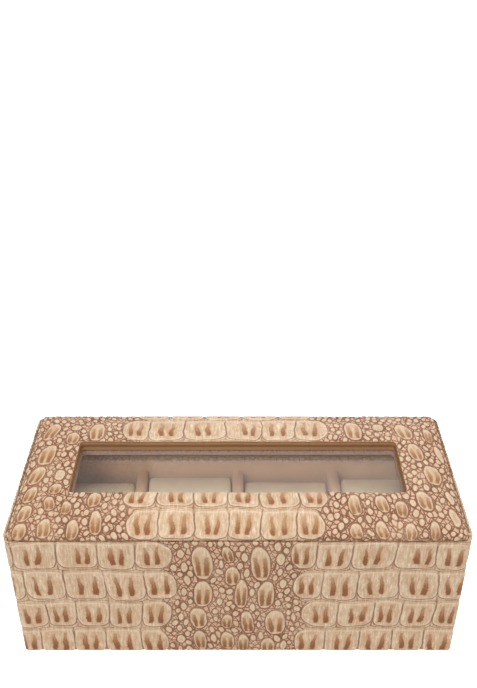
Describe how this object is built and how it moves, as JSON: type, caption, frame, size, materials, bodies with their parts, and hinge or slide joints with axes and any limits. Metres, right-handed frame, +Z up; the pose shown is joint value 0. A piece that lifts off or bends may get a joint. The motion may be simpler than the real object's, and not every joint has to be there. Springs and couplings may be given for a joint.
{
  "type": "watch box with drawer",
  "caption": "Croc-embossed leather watch box with a hinged padded window lid and a full-front drawer that holds a lined tray with watch cushions.",
  "frame": {"origin": "bottom centre of the box's bounding box, on the table under the base felt", "axes": "+X along the width to the viewer's right, the drawer opens along -Y, +Z up"},
  "size_m": [0.266, 0.116, 0.1014],
  "materials": {
    "croc_leather_case": "croc-embossed leather, cream tan with brown grooves, satin",
    "croc_leather_skirt": "croc-embossed leather, cream tan with brown grooves, satin",
    "croc_leather_panel": "croc-embossed padded leather, cream tan with brown grooves, satin",
    "croc_leather_front": "croc-embossed leather, cream tan with brown grooves, satin",
    "rim_leather": "croc-embossed leather, satin",
    "board": "bare fibreboard",
    "foam": "foam wadding",
    "felt": "dark brown felt",
    "suede": "beige-brown suede lining, matt",
    "suede_cushion": "pale beige suede, matt",
    "glass": "clear glass",
    "brass": "brushed brass",
    "steel_pin": "plain steel",
    "wood_runner": "waxed beech"
  },
  "bodies": {
    "case": {"base_board": "board", "base_felt": "felt", "case_left_board": "board", "case_right_board": "board", "case_back_board": "board", "case_leather": "croc_leather_case", "drawer_runners": "wood_runner", "drawer_stop": "wood_runner", "hinge_case_leaves": "brass", "hinge_case_screws": "brass", "hinge_pins": "steel_pin"},
    "lid": {"lid_left_board": "board", "lid_right_board": "board", "lid_back_board": "board", "lid_skirt_leather": "croc_leather_skirt", "lid_frame_board": "board", "lid_lining": "suede", "window_glass": "glass", "panel_board": "board", "panel_padding": "foam", "panel_leather": "croc_leather_panel", "hinge_lid_leaves": "brass", "hinge_lid_screws": "brass"},
    "drawer": {"drawer_front_board": "board", "drawer_front_leather": "croc_leather_front", "drawer_front_lining": "suede", "drawer_left_board": "board", "drawer_right_board": "board", "drawer_back_board": "board", "drawer_floor": "board", "drawer_catch": "wood_runner", "tray_floor_lining": "suede", "tray_wall_lining": "suede", "tray_rim_leather": "rim_leather", "divider_1": "suede", "divider_2": "suede", "divider_3": "suede"},
    "cushion_1": {"cushion_1": "suede_cushion"},
    "cushion_2": {"cushion_2": "suede_cushion"},
    "cushion_3": {"cushion_3": "suede_cushion"},
    "cushion_4": {"cushion_4": "suede_cushion"}
  },
  "joints": [
    {"name": "lid_hinge", "type": "hinge", "parent": "case", "child": "lid", "pos_m": [0, 0.0558, 0.0685], "axis": [-1, 0, 0], "range_deg": [0, 95]},
    {"name": "drawer_slide", "type": "slide", "parent": "case", "child": "drawer", "axis": [0, -1, 0], "range_m": [0, 0.085]},
    {"name": "cushion_1_lift", "type": "slide", "parent": "drawer", "child": "cushion_1", "axis": [0, 0, 1], "range_m": [0, 0.03]},
    {"name": "cushion_2_lift", "type": "slide", "parent": "drawer", "child": "cushion_2", "axis": [0, 0, 1], "range_m": [0, 0.03]},
    {"name": "cushion_3_lift", "type": "slide", "parent": "drawer", "child": "cushion_3", "axis": [0, 0, 1], "range_m": [0, 0.03]},
    {"name": "cushion_4_lift", "type": "slide", "parent": "drawer", "child": "cushion_4", "axis": [0, 0, 1], "range_m": [0, 0.03]}
  ]
}
